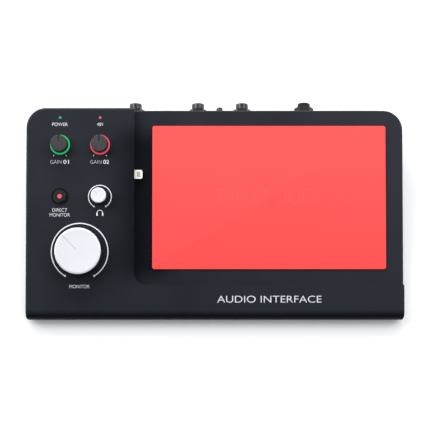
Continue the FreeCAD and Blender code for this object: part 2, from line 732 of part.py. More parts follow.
def make_jacks():
    past_edge = "panel_thick - panel_proud"
    metal = ("instrument_x", "left_out_x", "right_out_x")
    for name, across in zip(("instrument_jack", "left_output_jack", "right_output_jack"), metal):
        make_jack(name, across, f"metal_reach + {past_edge}")
    make_jack("headphone_jack", "phones_out_x", f"nose_reach + {past_edge}")
    washer = ring("washer_pattern", "nose_outer", "nut_across / 2", "0", "washer_thick")
    node(copies("jack_washers", washer, [
        lambda link, x=x: lift_from_panel(link, x, "0") for x in metal]))
    node(copies("jack_nuts", hex_nut("nut_pattern", "nut_across * 0.87", "nut_thick"), [
        lambda link, x=x: lift_from_panel(link, x, "washer_thick") for x in metal]))
    nut = hex_nut("headphone_jack_nut", "13", "7.7 - panel_proud")
    lift_from_panel(nut, "phones_out_x", "0")
    node(nut)


def make_mic_socket(number, across):
    """Combination socket: a round core inside a ring-shaped slot, with a latch tab."""
    body = turned(f"mic_socket_{number}", [
        ("0", "-20"), ("10.4", "-20"), ("10.4", "-4"), ("mic_barrel + 1.2", "-4"),
        ("mic_barrel + 1.2", "0"), ("mic_barrel", "0"), ("mic_barrel", "panel_thick + 0.3"),
        ("9.4", "panel_thick + 0.3"), ("9.4", "-13"), ("7.8", "-13"),
        ("7.8", "panel_thick - 0.6"), ("0", "panel_thick - 0.6")])
    sketch = new_sketch(body, lift="panel_thick + 1")
    add_circle(sketch, "0", "0", "jack_bore")
    pocket(body, sketch, "19")
    sketch = new_sketch(body, lift="panel_thick + 1")
    for angle in (30, 150, 270):
        add_circle(sketch, f"5.45 * cos({angle})", f"-5.45 * sin({angle})", "1.25")
    pocket(body, sketch, "14")
    sketch = new_sketch(body, lift="panel_thick + 1")
    add_box(sketch, "-3.3", "3.3", "-11.7", "-9.9")
    pocket(body, sketch, "panel_thick + 4")
    node(place_on_panel(body, across))
    tab = slab(f"mic_latch_{number}", [
        (f"{across} - 3.2", f"{across} + 3.2"), ("panel_back", "panel_face + 1.2"),
        ("axis_height + 10", "axis_height + 11.6")])
    node(tab)


def make_phantom_switch():
    button = turned("phantom_button", [
        ("0", "-8"), ("1.5", "-8"), ("1.5", "-1.5"), ("2.5", "-1.5"),
        ("2.5", "panel_thick - panel_proud + 7.6"), ("2", "panel_thick - panel_proud + 8.1"),
        ("0", "panel_thick - panel_proud + 8.1")])
    node(place_on_panel(button, "phantom_x"))
    body = new_body("phantom_switch")
    sketch = new_sketch(body, lift="-16")
    add_box(sketch, "-4", "4", "-4", "axis_height - main_top")
    pad(body, sketch, "11")
    sketch = new_sketch(body, lift="-4.5")
    add_circle(sketch, "0", "0", "1.6")
    pocket(body, sketch, "6.5")
    node(place_on_panel(body, "phantom_x"))


def make_power_switch():
    """Rocker in a framed housing; its left end stands out of the panel."""
    body = new_body("power_switch")
    sketch = new_sketch(body, lift="-12")
    add_box(sketch, "-6.5", "6.5", "-4.6", "4.6")
    pad(body, sketch, "panel_thick + 12")
    sketch = new_sketch(body, lift="panel_thick")
    add_box(sketch, "-7.4", "7.4", "-5.6", "5.6")
    pad(body, sketch, "0.9")
    sketch = new_sketch(body, lift="panel_thick + 1")
    add_box(sketch, "-6.1", "6.1", "-3.9", "3.9")
    pocket(body, sketch, "7")
    node(place_on_panel(body, "power_x"))
    # The rocker is drawn level and then turned, left end out.
    rocker = new_body("power_rocker")
    sketch = new_sketch(rocker, lift="-3.7")
    add_outline(sketch, [("-3.6", "-2.6"), ("3.6", "-2.6"), ("5.4", "3"),
                         ("0", "1.7"), ("-5.4", "3")])
    pad(rocker, sketch, "7.4")
    rocker.Placement.Rotation = FreeCAD.Rotation(FreeCAD.Vector(0, 0, -1), 10)
    place(rocker, "power_x", "panel_face", "axis_height")
    node(rocker)


def make_small_sockets():
    dc = turned("dc_socket", [
        ("0", "-11"), ("4.4", "-11"), ("4.4", "panel_thick + 0.3"),
        ("2.8", "panel_thick + 0.3"), ("2.8", "-8"), ("0", "-8")])
    node(place_on_panel(dc, "dc_x"))
    pin = turned("dc_pin", [("0", "-8"), ("1", "-8"), ("1", "0.4"), ("0.6", "1"), ("0", "1")])
    node(place_on_panel(pin, "dc_x"))
    shell = new_body("usb_shell")
    sketch = new_sketch(shell, lift="-14")
    add_box(sketch, "-6.65", "6.65", "-2.95", "2.95")
    pad(shell, sketch, "panel_thick + 14.4")
    sketch = new_sketch(shell, lift="panel_thick + 1")
    add_box(sketch, "-6.25", "6.25", "-2.55", "2.55")
    pocket(shell, sketch, "panel_thick + 13")
    node(place_on_panel(shell, "usb_x"))
    tongue = slab("usb_tongue", [("usb_x - 5.6", "usb_x + 5.6"),
                                 ("panel_back - 12", "panel_face - 0.8"),
                                 ("axis_height + 0.3", "axis_height + 2.1")])
    node(tongue)


# ---- boards inside --------------------------------------------------------

def make_main_board():
    body = new_body("main_board")
    sketch = new_sketch(body, lift="main_level")
    add_box(sketch, "main_left", "main_right", "case_rear - main_length - 5", "panel_back - 4.4")
    for across, up in MAIN_SPOTS:
        add_circle(sketch, across, up, "1.25")
    pad(body, sketch, "board_thick")
    node(body)
    parts = []
    for index, (across, up, wide, long, tall) in enumerate((
            (-20, 58, 14, 14, 1.4), (14, 60, 10, 10, 1.2), (48, 52, 9, 9, 1.2),
            (84, 58, 12, 8, 4.5), (84, 44, 8, 6, 1.2), (-52, 50, 12, 6, 3))):
        parts.append(slab(f"chip_{index}", [
            (f"{across} - {wide / 2}", f"{across} + {wide / 2}"),
            (f"case_rear - {up + long / 2}", f"case_rear - {up - long / 2}"),
            ("main_top", f"main_top + {tall}")]))
    can = turned("can_pattern", [("0", "0"), ("3.1", "0"), ("3.1", "6.4"), ("2.8", "6.8"),
                                 ("0", "6.8")])
    spots = [(x, y) for x in (104, 113) for y in (38, 48, 58)] + [(-2, 44), (30, 44)]
    cans = copies("board_cans", can, [
        lambda link, x=x, y=y: place(link, x, f"case_rear - {y}", "main_top")
        for x, y in spots])
    node(gathered("board_parts", parts + [cans]))


def make_board_screws():
    """Pan-head screws: into the deck's hangers from below, and into the standoffs."""
    screw = turned("small_screw", [("0", "0"), ("2.2", "0"), ("2.2", "-1"), ("1.9", "-1.3"),
                                   ("0", "-1.3")])
    shank = turned("small_shank", [("0", "0"), ("1.2", "0"), ("1.2", "3"), ("0", "3")])
    whole = boolean("Fuse", "board_screw_pattern", screw, [shank])

    def under_board(link, spot):
        place_on_deck(link, *spot, "board_top - board_thick")

    def over_board(link, spot):
        link.Placement.Rotation = FreeCAD.Rotation(FreeCAD.Vector(1, 0, 0), 180)
        place(link, *spot, "main_top")

    puts = [lambda link, spot=spot: under_board(link, spot) for spot in STANDOFFS]
    puts += [lambda link, spot=spot: over_board(link, spot) for spot in MAIN_SPOTS]
    node(copies("board_screws", whole, puts))


def make_ribbon():
    """Flat cable between the two boards, with a header at each end."""
    top = "board_top - board_thick"
    upper = slab("upper_header", [("-6", "6"), ("-2", "2"), ("-4", "0")])
    place_on_deck(upper, "board_right - 9", "112", f"{top} - 4")
    header_y = "case_front + 112 * cos(tilt) + 15 * sin(tilt)"
    lower = slab("lower_header", [("board_right - 9", "board_right + 3"),
                                  (f"{header_y} - 0.6", f"{header_y} + 3.4"),
                                  ("main_top", "main_top + 3")])
    node(gathered("ribbon_headers", [upper, lower]))
    cable = slab("ribbon_cable", [("board_right - 8", "board_right + 2"),
                                  (f"{header_y} + 1", f"{header_y} + 1.6"),
                                  ("main_top + 3", "front_height + 112 * sin(tilt) - 17.5")])
    node(cable)


def make_pad():
    body = new_body("tablet_pad")
    sketch = new_sketch(body, lift="-tray_depth - pad_sunk")
    add_box(sketch, "-pad_width / 2", "pad_width / 2", "0", "pad_length")
    pad(body, sketch, "pad_thick")
    round_edges(body, "pad_corner", is_upright)
    node(place_on_deck(body, "pad_middle", "pad_front"))


def check_document():
    doc.recompute()
    for thing in doc.Objects:
        bad = [state for state in thing.State if state in ("Invalid", "Error")]
        assert not bad, f"{thing.Label}: {thing.State}"
    for thing in nodes:
        shape = thing.Shape
        assert not shape.isNull() and shape.isValid() and shape.Solids, thing.Label


make_top_cover()
make_bottom_cover()
make_feet_and_screws()
make_pad()
make_rear_panel()
make_controls()
make_control_board()
make_dock_plug()
make_jacks()
make_mic_socket(1, "mic_one_x")
make_mic_socket(2, "mic_two_x")
make_phantom_switch()
make_power_switch()
make_small_sockets()
make_main_board()
make_board_screws()
make_ribbon()
check_document()

os.makedirs("parts", exist_ok=True)
for thing in nodes:
    thing.Shape.exportStep(f"parts/{thing.Label}.step")
print(len(nodes), "nodes written")
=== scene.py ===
import json
import math
import bmesh
import bpy
from mathutils import Matrix, Vector


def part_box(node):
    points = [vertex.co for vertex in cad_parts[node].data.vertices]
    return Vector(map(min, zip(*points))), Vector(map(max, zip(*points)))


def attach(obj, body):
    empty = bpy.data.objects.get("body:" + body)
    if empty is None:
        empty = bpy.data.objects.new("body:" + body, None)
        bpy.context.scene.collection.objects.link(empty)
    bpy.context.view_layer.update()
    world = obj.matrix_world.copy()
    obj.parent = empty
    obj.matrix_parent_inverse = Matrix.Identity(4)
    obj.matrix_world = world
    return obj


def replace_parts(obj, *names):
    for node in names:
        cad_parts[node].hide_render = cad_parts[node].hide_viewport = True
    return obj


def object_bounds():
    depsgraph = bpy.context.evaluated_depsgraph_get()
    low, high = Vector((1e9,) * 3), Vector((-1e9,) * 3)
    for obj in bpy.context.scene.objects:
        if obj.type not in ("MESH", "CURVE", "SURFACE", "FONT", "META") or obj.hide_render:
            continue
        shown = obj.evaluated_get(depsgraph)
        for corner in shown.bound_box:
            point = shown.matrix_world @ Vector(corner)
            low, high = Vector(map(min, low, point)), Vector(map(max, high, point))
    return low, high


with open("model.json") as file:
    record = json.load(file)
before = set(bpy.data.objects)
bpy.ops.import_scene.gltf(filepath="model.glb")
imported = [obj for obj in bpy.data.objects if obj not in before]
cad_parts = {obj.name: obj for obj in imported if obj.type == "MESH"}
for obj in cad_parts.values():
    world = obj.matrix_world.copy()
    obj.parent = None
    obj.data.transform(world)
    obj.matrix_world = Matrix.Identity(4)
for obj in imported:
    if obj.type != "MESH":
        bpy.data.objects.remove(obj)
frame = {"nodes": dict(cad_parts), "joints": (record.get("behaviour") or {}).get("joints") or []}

cad_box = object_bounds()
MM = 0.001
joints = {joint["name"]: joint for joint in frame["joints"]}
nodes = frame["nodes"]

# ---- the deck's own frame: u = X, v up the slope from the front edge, w normal ----

normal = Vector(joints["gain_1_turn"]["axis"]).normalized()
slope = Vector((0, normal.z, -normal.y))
_on_deck = Vector(joints["gain_1_turn"]["pos_m"])
_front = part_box("top_cover")[0].y
deck_origin = Vector((0, _front, _on_deck.z + normal.y / normal.z * (_on_deck.y - _front)))
deck_matrix = Matrix.Translation(deck_origin) @ Matrix((
    (1, slope.x, normal.x, 0), (0, slope.y, normal.y, 0), (0, slope.z, normal.z, 0), (0, 0, 0, 1)))


def deck(u, v, w=0.0):
    """World point of a deck position in millimetres."""
    return deck_matrix @ Vector((u * MM, v * MM, w * MM))


def deck_place(name):
    """A control's (u, v) in millimetres, from its joint."""
    spot = deck_matrix.inverted() @ Vector(joints[name]["pos_m"])
    return spot.x / MM, spot.y / MM


def deck_frame_at(u, v, w=0.0):
    """The deck's frame moved to (u, v, w), in metres from a position in millimetres."""
    return deck_matrix @ Matrix.Translation(Vector((u, v, w)) * MM)


# ---- materials --------------------------------------------------------------

def paint_wall_shade(tree, position, tone, depth):
    """Painted shade: darken the coat along the tray's left wall and down the front wall.

    Gives the tone, and how dark each place is made, from 0 to 1.
    """
    split = tree.nodes.new("ShaderNodeSeparateXYZ")
    tree.links.new(position, split.inputs["Vector"])
    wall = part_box("dock_plug")[0].x + 15 * MM
    fades = []
    for axis, start, stop in (("X", wall - 34 * MM, wall), ("X", wall + 34 * MM, wall + 6 * MM),
                              ("Y", -66 * MM, -42 * MM), ("Y", 68 * MM, 45 * MM)):
        fade = tree.nodes.new("ShaderNodeMapRange")
        fade.interpolation_type = "SMOOTHSTEP"
        fade.inputs["From Min"].default_value = start
        fade.inputs["From Max"].default_value = stop
        tree.links.new(split.outputs[axis], fade.inputs["Value"])
        fades.append(fade.outputs["Result"])
    amount = fades[0]
    for fade in fades[1:]:
        product = tree.nodes.new("ShaderNodeMath")
        product.operation = "MULTIPLY"
        tree.links.new(amount, product.inputs[0])
        tree.links.new(fade, product.inputs[1])
        amount = product.outputs["Value"]
    scale = tree.nodes.new("ShaderNodeMath")
    scale.operation = "MULTIPLY"
    scale.inputs[1].default_value = depth
    tree.links.new(amount, scale.inputs[0])
    down = tree.nodes.new("ShaderNodeMapRange")
    down.interpolation_type = "SMOOTHSTEP"
    down.inputs["From Min"].default_value = cad_box[0][1] + 4.5 * MM
    down.inputs["From Max"].default_value = cad_box[0][1] + 1.0 * MM
    down.inputs["To Max"].default_value = 0.9
    tree.links.new(split.outputs["Y"], down.inputs["Value"])
    darker = tree.nodes.new("ShaderNodeMath")
    darker.operation = "MAXIMUM"
    tree.links.new(scale.outputs["Value"], darker.inputs[0])
    tree.links.new(down.outputs["Result"], darker.inputs[1])
    # painted shade: this near-black colour is blended in by how dark each place is made
    blend = tree.nodes.new("ShaderNodeMix")
    blend.data_type = "RGBA"
    tree.links.new(darker.outputs["Value"], blend.inputs["Factor"])
    tree.links.new(tone, blend.inputs["A"])
    blend.inputs["B"].default_value = (0.0015, 0.0015, 0.0025, 1)
    return blend.outputs["Result"], darker.outputs["Value"]


def make_material(name, color, rough, metallic=0.0, grain=0.0, grain_size=0.4, mottle=0.06,
                  rough_mottle=0.08, coat=0.0, emission=None, glow=0.0, specular=0.5,
                  brushed=None, dust=0.0, shade=0.0):
    """Plastic, rubber or metal with grain in its bump and uneven colour and gloss.

    grain is the bump's depth in mm and grain_size its spacing in mm; brushed stretches
    the gloss pattern along one axis; dust lightens patches of the surface; shade is how
    deep the painted shade along the tray wall and down the front wall goes.
    """
    material = bpy.data.materials.new(name)
    material.use_nodes = True
    tree = material.node_tree
    shader = tree.nodes["Principled BSDF"]
    shader.inputs["Metallic"].default_value = metallic
    shader.inputs["Coat Weight"].default_value = coat
    shader.inputs["Coat Roughness"].default_value = 0.08
    shader.inputs["Specular IOR Level"].default_value = specular
    place = tree.nodes.new("ShaderNodeTexCoord")
    stretch = tree.nodes.new("ShaderNodeMapping")
    tree.links.new(place.outputs["Object"], stretch.inputs["Vector"])
    if brushed:
        stretch.inputs["Scale"].default_value = brushed

    def noise(scale, detail, vector):
        node = tree.nodes.new("ShaderNodeTexNoise")
        node.inputs["Scale"].default_value = scale
        node.inputs["Detail"].default_value = detail
        tree.links.new(vector, node.inputs["Vector"])
        return node.outputs["Fac"]

    def spread(source, low, high):
        node = tree.nodes.new("ShaderNodeMapRange")
        node.inputs["From Min"].default_value = 0.3
        node.inputs["From Max"].default_value = 0.7
        node.inputs["To Min"].default_value = low
        node.inputs["To Max"].default_value = high
        tree.links.new(source, node.inputs["Value"])
        return node.outputs["Result"]

    broad = noise(28.0, 4.0, place.outputs["Object"])
    fine = noise(1000.0 / grain_size, 3.0, stretch.outputs["Vector"])
    ramp = tree.nodes.new("ShaderNodeValToRGB")
    dark = [c * (1 - mottle) for c in color]
    light = [min(1.0, c * (1 + mottle) + dust) for c in color]
    ramp.color_ramp.elements[0].position, ramp.color_ramp.elements[1].position = 0.35, 0.68
    ramp.color_ramp.elements[0].color = (*dark, 1)
    ramp.color_ramp.elements[1].color = (*light, 1)
    mixed = tree.nodes.new("ShaderNodeMix")
    mixed.data_type = "FLOAT"
    mixed.inputs["Factor"].default_value = 0.45
    tree.links.new(broad, mixed.inputs["A"])
    tree.links.new(fine, mixed.inputs["B"])
    tree.links.new(mixed.outputs["Result"], ramp.inputs["Fac"])
    tone = ramp.outputs["Color"]
    # painted shade: the coat is darkened and its reflections dimmed along the tray wall and down
    # the front wall
    if shade:
        tone, painted_shade = paint_wall_shade(tree, place.outputs["Object"], tone, shade)
        duller = tree.nodes.new("ShaderNodeMapRange")
        duller.inputs["To Min"].default_value = specular
        duller.inputs["To Max"].default_value = 0.0
        tree.links.new(painted_shade, duller.inputs["Value"])
        tree.links.new(duller.outputs["Result"], shader.inputs["Specular IOR Level"])
    tree.links.new(tone, shader.inputs["Base Color"])
    gloss = spread(mixed.outputs["Result"], max(0.02, rough - rough_mottle), rough + rough_mottle)
    tree.links.new(gloss, shader.inputs["Roughness"])
    if grain:
        bump = tree.nodes.new("ShaderNodeBump")
        bump.inputs["Strength"].default_value = 1.0
        bump.inputs["Distance"].default_value = grain * MM
        tree.links.new(fine, bump.inputs["Height"])
        tree.links.new(bump.outputs["Normal"], shader.inputs["Normal"])
    if emission:
        shader.inputs["Emission Color"].default_value = (*emission, 1)
        shader.inputs["Emission Strength"].default_value = glow
    return material


MATERIALS = {
    # the coat carries painted shade along the tray wall and down the front wall (shade=0.72)
    "case": make_material("soft_touch_black", (0.0100, 0.0118, 0.0190), 0.42, grain=0.010,
                          grain_size=0.35, mottle=0.10, rough_mottle=0.05, dust=0.0006,
                          specular=0.25, shade=0.72),
    "base": make_material("textured_base", (0.004, 0.004, 0.005), 0.6, grain=0.04,
                          grain_size=0.7, dust=0.001, specular=0.0),
    "panel": make_material("panel_black", (0.008, 0.008, 0.010), 0.48, grain=0.02,
                           grain_size=0.5),
    "pad": make_material("silicone_red", (0.95, 0.056, 0.052), 0.6, grain=0.012,
                         grain_size=0.5, mottle=0.02, rough_mottle=0.05),
    # darker red: painted shade standing for the low relief of the pad's words and marks
    "pad_mark": make_material("painted_relief_shade", (0.88, 0.066, 0.062), 0.6, grain=0.01,
                              grain_size=0.5, mottle=0.02),
    "rubber": make_material("knob_rubber", (0.009, 0.0095, 0.011), 0.62, grain=0.09,
                            grain_size=1.9, mottle=0.8, dust=0.022),
    "knob_side": make_material("knob_body", (0.003, 0.003, 0.0035), 0.45, grain=0.015,
                               grain_size=0.5, mottle=0.2, dust=0.0005, specular=0.3),
    "cap": make_material("spun_cap", (0.80, 0.82, 0.87), 0.36, metallic=0.25, grain=0.004,
                         grain_size=0.5, mottle=0.015, rough_mottle=0.06),
    "groove": make_material("pointer_groove", (0.42, 0.43, 0.46), 0.5, metallic=0.2,
                            grain=0.004, mottle=0.05),
    "green_halo": make_material("halo_green", (0.01, 0.16, 0.06), 0.3, grain=0.01,
                                emission=(0.008, 0.56, 0.15), glow=0.75),
    "red_halo": make_material("halo_red", (0.30, 0.02, 0.03), 0.3, grain=0.01,
                              emission=(0.86, 0.075, 0.13), glow=0.75),
    "green_lens": make_material("lens_green", (0.02, 0.20, 0.12), 0.2, coat=0.5,
                                emission=(0.05, 0.36, 0.22), glow=0.55),
    "red_lens": make_material("lens_red", (0.35, 0.03, 0.05), 0.2, coat=0.5,
                              emission=(0.72, 0.15, 0.17), glow=0.6),
    "button": make_material("gloss_button", (0.010, 0.011, 0.012), 0.28, coat=0.2,
                            mottle=0.2, rough_mottle=0.06, dust=0.002),
    "bezel": make_material("gloss_bezel", (0.003, 0.003, 0.003), 0.3, mottle=0.2,
                           rough_mottle=0.04, specular=0.3),
    "steel": make_material("satin_steel", (0.50, 0.50, 0.51), 0.32, metallic=1.0,
                           grain=0.005, brushed=(1, 1, 0.08), mottle=0.08),
    "nickel": make_material("black_nickel", (0.09, 0.09, 0.10), 0.22, metallic=1.0,
                            grain=0.004, mottle=0.15, rough_mottle=0.1),
    # painted shade: dark finish for the screw-head crosses, standing for shaded cross recesses
    "recess": make_material("painted_recess_shade", (0.02, 0.02, 0.02), 0.5, metallic=0.6,
                            mottle=0.1),
    "foot": make_material("foot_rubber", (0.015, 0.015, 0.015), 0.8, grain=0.05,
                          grain_size=0.8, dust=0.006),
    "board": make_material("solder_resist", (0.012, 0.10, 0.05), 0.35, grain=0.02,
                           grain_size=1.8, mottle=0.4, rough_mottle=0.1),
    "chip": make_material("moulded_chip", (0.02, 0.02, 0.021), 0.55, grain=0.02,
                          grain_size=0.3),
    "housing": make_material("moulded_housing", (0.006, 0.006, 0.007), 0.40, grain=0.015,
                             grain_size=0.4, mottle=0.2, dust=0.001, specular=0.35),
    "white": make_material("white_plastic", (0.92, 0.91, 0.88), 0.25, coat=0.3,
                           grain=0.002, mottle=0.02),
    "inlay": make_material("plug_inlay", (0.74, 0.70, 0.64), 0.35, metallic=0.3,
                           grain=0.003, mottle=0.05),
    "gold": make_material("contact_gold", (0.80, 0.62, 0.34), 0.25, metallic=0.9,
                          mottle=0.05),
    "ribbon": make_material("ribbon_grey", (0.45, 0.45, 0.47), 0.5, grain=0.03,
                            grain_size=1.2, brushed=(1, 0.05, 0.05)),
    "print": make_material("white_print", (0.66, 0.68, 0.73), 0.55, grain=0.003,
                           mottle=0.04),
    "bold_print": make_material("bright_print", (0.88, 0.89, 0.93), 0.55, grain=0.003,
                                mottle=0.03),
}

NODE_LOOKS = {
    "case": ["top_cover"], "base": ["bottom_cover"], "panel": ["rear_panel"],
    "foot": [n for n in nodes if n.startswith("foot_")],
    "rubber": [n for n in nodes if n.endswith("_knob")],
    "cap": [n for n in nodes if n.endswith("_cap")],
    "green_halo": ["gain_1_halo"], "red_halo": ["gain_2_halo"],
    "green_lens": ["power_led_lens"], "red_lens": ["phantom_led_lens", "direct_lens"],
    "button": ["direct_button", "phantom_button", "power_rocker"], "bezel": ["direct_bezel"],
    "steel": [n for n in nodes if n.endswith("_shaft")] + [
        "case_screws", "board_screws", "guide_rods", "monitor_nut", "dc_pin", "usb_shell",
        "mic_latch_1", "mic_latch_2"],
    "nickel": ["instrument_jack", "left_output_jack", "right_output_jack", "jack_nuts",
               "jack_washers"],
    "board": ["control_board", "main_board"], "chip": ["board_parts"],
    "housing": [n for n in nodes if n.endswith("_pot") or n.startswith("mic_socket")] + [
        "phantom_switch", "power_switch", "dc_socket",
        "usb_tongue", "direct_switch", "ribbon_headers", "plug_carriage"],
    "knob_side": ["headphone_jack", "headphone_jack_nut"],
    "white": ["dock_plug"], "ribbon": ["ribbon_cable"], "pad": ["tablet_pad"],
}
for look, members in NODE_LOOKS.items():
    for member in members:
        nodes[member].data.materials.clear()
        nodes[member].data.materials.append(MATERIALS[look])


# ---- mesh helpers -------------------------------------------------------------

def add_piece(name, mesh, look, body="case"):
    piece = bpy.data.objects.new(name, mesh)
    bpy.context.scene.collection.objects.link(piece)
    mesh.materials.append(MATERIALS[look])
    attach(piece, body)
    return piece


def mesh_from(name, build, matrix):
    """A mesh that build() fills in local millimetres, put in place by matrix."""
    bm = bmesh.new()
    build(bm)
    bmesh.ops.scale(bm, vec=(MM, MM, MM), verts=bm.verts)
    bmesh.ops.transform(bm, matrix=matrix, verts=bm.verts)
    bmesh.ops.recalc_face_normals(bm, faces=bm.faces)
    mesh = bpy.data.meshes.new(name)
    bm.to_mesh(mesh)
    bm.free()
    return mesh


PRINT_RISE = 0.03  # mm


def lathe(bm, profile, steps=96, ribs=0, rib_depth=0.0, ribbed=()):
    """Turn a profile of (radius, height); its first and last points lie on the axis.

    The rows listed in ribbed are cut into ribs, rib_depth deep.
    """
    rows = []
    for index, (radius, height) in enumerate(profile):
        if radius == 0:
            rows.append([bm.verts.new((0, 0, height))] * steps)
            continue
        row = []
        for step in range(steps):
            angle = 2 * math.pi * step / steps
            wave = 0.5 - 0.5 * math.cos(ribs * angle) if index in ribbed else 0
            reach = radius - rib_depth * wave
            row.append(bm.verts.new((reach * math.cos(angle), reach * math.sin(angle), height)))
        rows.append(row)
    for low, high in zip(rows, rows[1:]):
        for step in range(steps):
            after = (step + 1) % steps
            corners = [low[step], low[after], high[after], high[step]]
            bm.faces.new(list(dict.fromkeys(corners)))


def lathe_ring(bm, inner, outer, low, high, x=0.0, y=0.0, steps=48):
    """A tube with a flat end, about (x, y)."""
    rows = []
    for radius, height in ((inner, low), (outer, low), (outer, high), (inner, high)):
        rows.append([bm.verts.new((x + radius * math.cos(2 * math.pi * n / steps),
                                   y + radius * math.sin(2 * math.pi * n / steps), height))
                     for n in range(steps)])
    for low_row, high_row in zip(rows, rows[1:] + rows[:1]):
        for step in range(steps):
            after = (step + 1) % steps
            bm.faces.new((low_row[step], low_row[after], high_row[after], high_row[step]))


def rounded(radius, top, fillet, steps=6):
    """Profile points that round a disc's upper edge."""
    return [(radius - fillet + fillet * math.cos(angle), top - fillet + fillet * math.sin(angle))
            for angle in (math.pi / 2 * step / steps for step in range(steps + 1))]


def prism(bm, outline, low, high):
    """Closed prism over an outline of (x, y) points, counter-clockwise."""
    floor = [bm.verts.new((x, y, low)) for x, y in outline]
    roof = [bm.verts.new((x, y, high)) for x, y in outline]
    bm.faces.new(floor[::-1])
    bm.faces.new(roof)
    for index in range(len(outline)):
        after = (index + 1) % len(outline)
        bm.faces.new((floor[index], floor[after], roof[after], roof[index]))


def brick(bm, centre, size, low, high, turn=0.0):
    """A box of size (along, across) about centre, turned by turn radians."""
    along = Vector((math.cos(turn), math.sin(turn))) * size[0] / 2
    across = Vector((-math.sin(turn), math.cos(turn))) * size[1] / 2
    middle = Vector(centre)
    prism(bm, [tuple(middle + a * along + b * across)
               for a, b in ((-1, -1), (1, -1), (1, 1), (-1, 1))], low, high)


def rounded_box(width, length, corner, steps=8):
    """Outline of a rectangle from (0, 0) to (width, length) with round corners."""
    spots = []
    for number, (x, y) in enumerate(((width - corner, corner), (width - corner, length - corner),
                                     (corner, length - corner), (corner, corner))):
        for step in range(steps + 1):
            angle = math.pi / 2 * (number - 1 + step / steps)
            spots.append((x + corner * math.cos(angle), y + corner * math.sin(angle)))
    return spots


def cut_mesh(name, base, cutter):
    """The base mesh with the cutter mesh taken out of it."""
    holder = bpy.data.objects.new(name + "_base", base)
    tool = bpy.data.objects.new(name + "_tool", cutter)
    for thing in (holder, tool):
        bpy.context.scene.collection.objects.link(thing)
    cut = holder.modifiers.new("cut", "BOOLEAN")
    cut.operation, cut.object, cut.solver = "DIFFERENCE", tool, "EXACT"
    bpy.context.view_layer.update()
    graph = bpy.context.evaluated_depsgraph_get()
    mesh = bpy.data.meshes.new_from_object(holder.evaluated_get(graph))
    mesh.name = name
    for thing in (holder, tool):
        bpy.data.objects.remove(thing)
    return mesh


def smooth(mesh, angle=35):
    """Shade smooth, but keep edges sharper than the angle."""
    mesh.shade_smooth()
    bm = bmesh.new()
    bm.from_mesh(mesh)
    for edge in bm.edges:
        edge.smooth = len(edge.link_faces) == 2 and edge.calc_face_angle() < math.radians(angle)
    bm.to_mesh(mesh)
    bm.free()
    return mesh


def arc_band(bm, radius, width, start, stop, steps=96):
    """A flat printed arc, from start to stop in degrees counter-clockwise from +u."""
    rows = []
    for index in range(steps + 1):
        angle = math.radians(start + (stop - start) * index / steps)
        along = Vector((math.cos(angle), math.sin(angle), 0))
        rows.append([bm.verts.new(along * r + Vector((0, 0, PRINT_RISE)))
                     for r in (radius - width / 2, radius + width / 2)])
    for a, b in zip(rows, rows[1:]):
        bm.faces.new((a[0], a[1], b[1], b[0]))


def disc(bm, across, up, radius, steps=24):
    bm.faces.new([bm.verts.new((across + radius * math.cos(2 * math.pi * n / steps),
                                up + radius * math.sin(2 * math.pi * n / steps), PRINT_RISE))
                  for n in range(steps)])


def tick(bm, angle, near, far, width):
    """A short printed line along a radius, at angle degrees from +u."""
    turn = math.radians(angle)
    along = Vector((math.cos(turn), math.sin(turn), 0))
    side = Vector((-along.y, along.x, 0)) * width / 2
    lift = Vector((0, 0, PRINT_RISE))
    bm.faces.new([bm.verts.new(p + lift) for p in (
        along * near - side, along * far - side, along * far + side, along * near + side)])


def text_mesh(name, words, width, height, thick, matrix):
    """Plain capitals, stretched to the width and height in mm, bold by thick."""
    curve = bpy.data.curves.new(name, "FONT")
    curve.body = words
    curve.align_x, curve.align_y = "LEFT", "BOTTOM"
    curve.offset = thick
    curve.resolution_u = 6
    holder = bpy.data.objects.new(name + "_text", curve)
    bpy.context.scene.collection.objects.link(holder)
    bpy.context.view_layer.update()
    graph = bpy.context.evaluated_depsgraph_get()
    mesh = bpy.data.meshes.new_from_object(holder.evaluated_get(graph))
    bpy.data.objects.remove(holder)
    xs = [v.co.x for v in mesh.vertices]
    ys = [v.co.y for v in mesh.vertices]
    fit = Matrix.Diagonal((width * MM / (max(xs) - min(xs)), height * MM / (max(ys) - min(ys)),
                           1, 1))
    shift = Matrix.Translation((-(max(xs) + min(xs)) / 2, -(max(ys) + min(ys)) / 2, 0))
    lift = Matrix.Translation((0, 0, PRINT_RISE * MM))
    mesh.transform(matrix @ lift @ fit @ shift)
    mesh.name = name
    return mesh


def deck_text(name, words, u, v, width, height, thick=0.0, look="print"):
    mesh = text_mesh(name, words, width, height, thick, deck_frame_at(u, v))
    return add_piece(name, mesh, look)


# ---- printing on the deck -----------------------------------------------------

gain_1, gain_2 = deck_place("gain_1_turn"), deck_place("gain_2_turn")
phones, dial = deck_place("headphone_turn"), deck_place("monitor_turn")
direct = deck_place("direct_press")
BAND_MIDDLE = (41.4, 14.1)  # of the plain band below the tray, in deck millimetres
CAP_POINTER = 135  # degrees from +u at rest, about half past ten


def gain_ticks(bm):
    for angle in (-120, -60):
        tick(bm, angle, 8.9, 10.2, 0.4)


for number, (u, v) in ((1, gain_1), (2, gain_2)):
    add_piece(f"gain_{number}_ticks", mesh_from("gain_ticks", gain_ticks, deck_frame_at(u, v)),
              "print")
    deck_text(f"gain_{number}_label", "GAIN", u - 3.0, v - 13.2, 8.6, 2.8, -0.019)
    deck_text(f"gain_{number}_digits", f"0{number}", u + 4.7, v - 13.2, 4.3, 3.0, 0.004,
              "bold_print")

